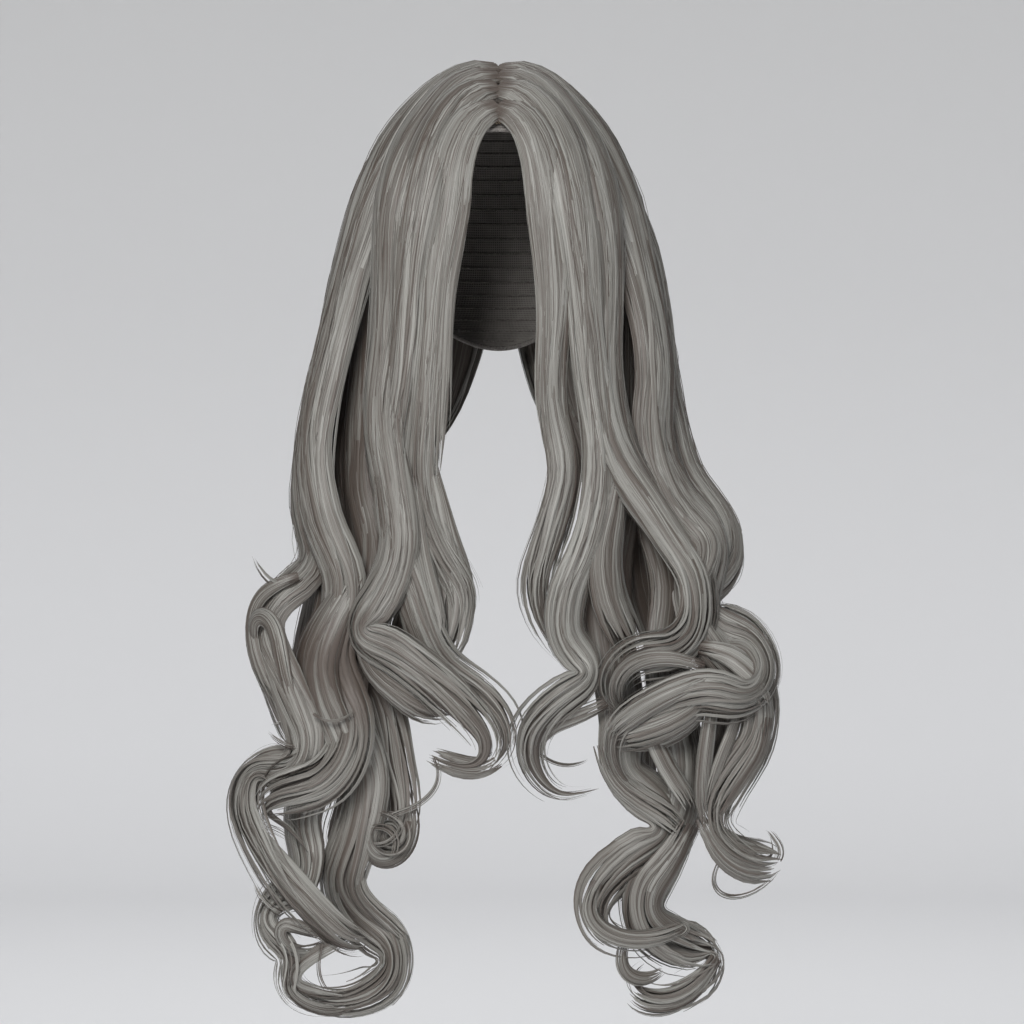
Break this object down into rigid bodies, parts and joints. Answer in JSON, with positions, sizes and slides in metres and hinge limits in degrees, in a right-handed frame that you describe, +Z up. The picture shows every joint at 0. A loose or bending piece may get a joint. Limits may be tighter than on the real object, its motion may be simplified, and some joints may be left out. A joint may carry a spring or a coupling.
{
  "type": "long wavy wig",
  "caption": "Long grey wavy wig with a centre parting: a soft net cap with a parting strip, and hair in two long front curtains that end in loose curls.",
  "frame": {"origin": "the crown of the head, on the inside of the cap, where the wig sits", "axes": "+Z up, -Y towards the face opening, +X to the wearer's left"},
  "size_m": [0.3663, 0.2457, 0.6423],
  "materials": {
    "hair": "grey fibre with a soft sheen",
    "cap_net": "matt knitted net",
    "parting_skin": "matt"
  },
  "bodies": {
    "root": {"cap": "cap_net", "parting": "parting_skin", "right_curtain": "hair", "left_curtain": "hair", "right_side_weft": "hair", "left_side_weft": "hair", "back_hair": "hair"}
  },
  "joints": []
}
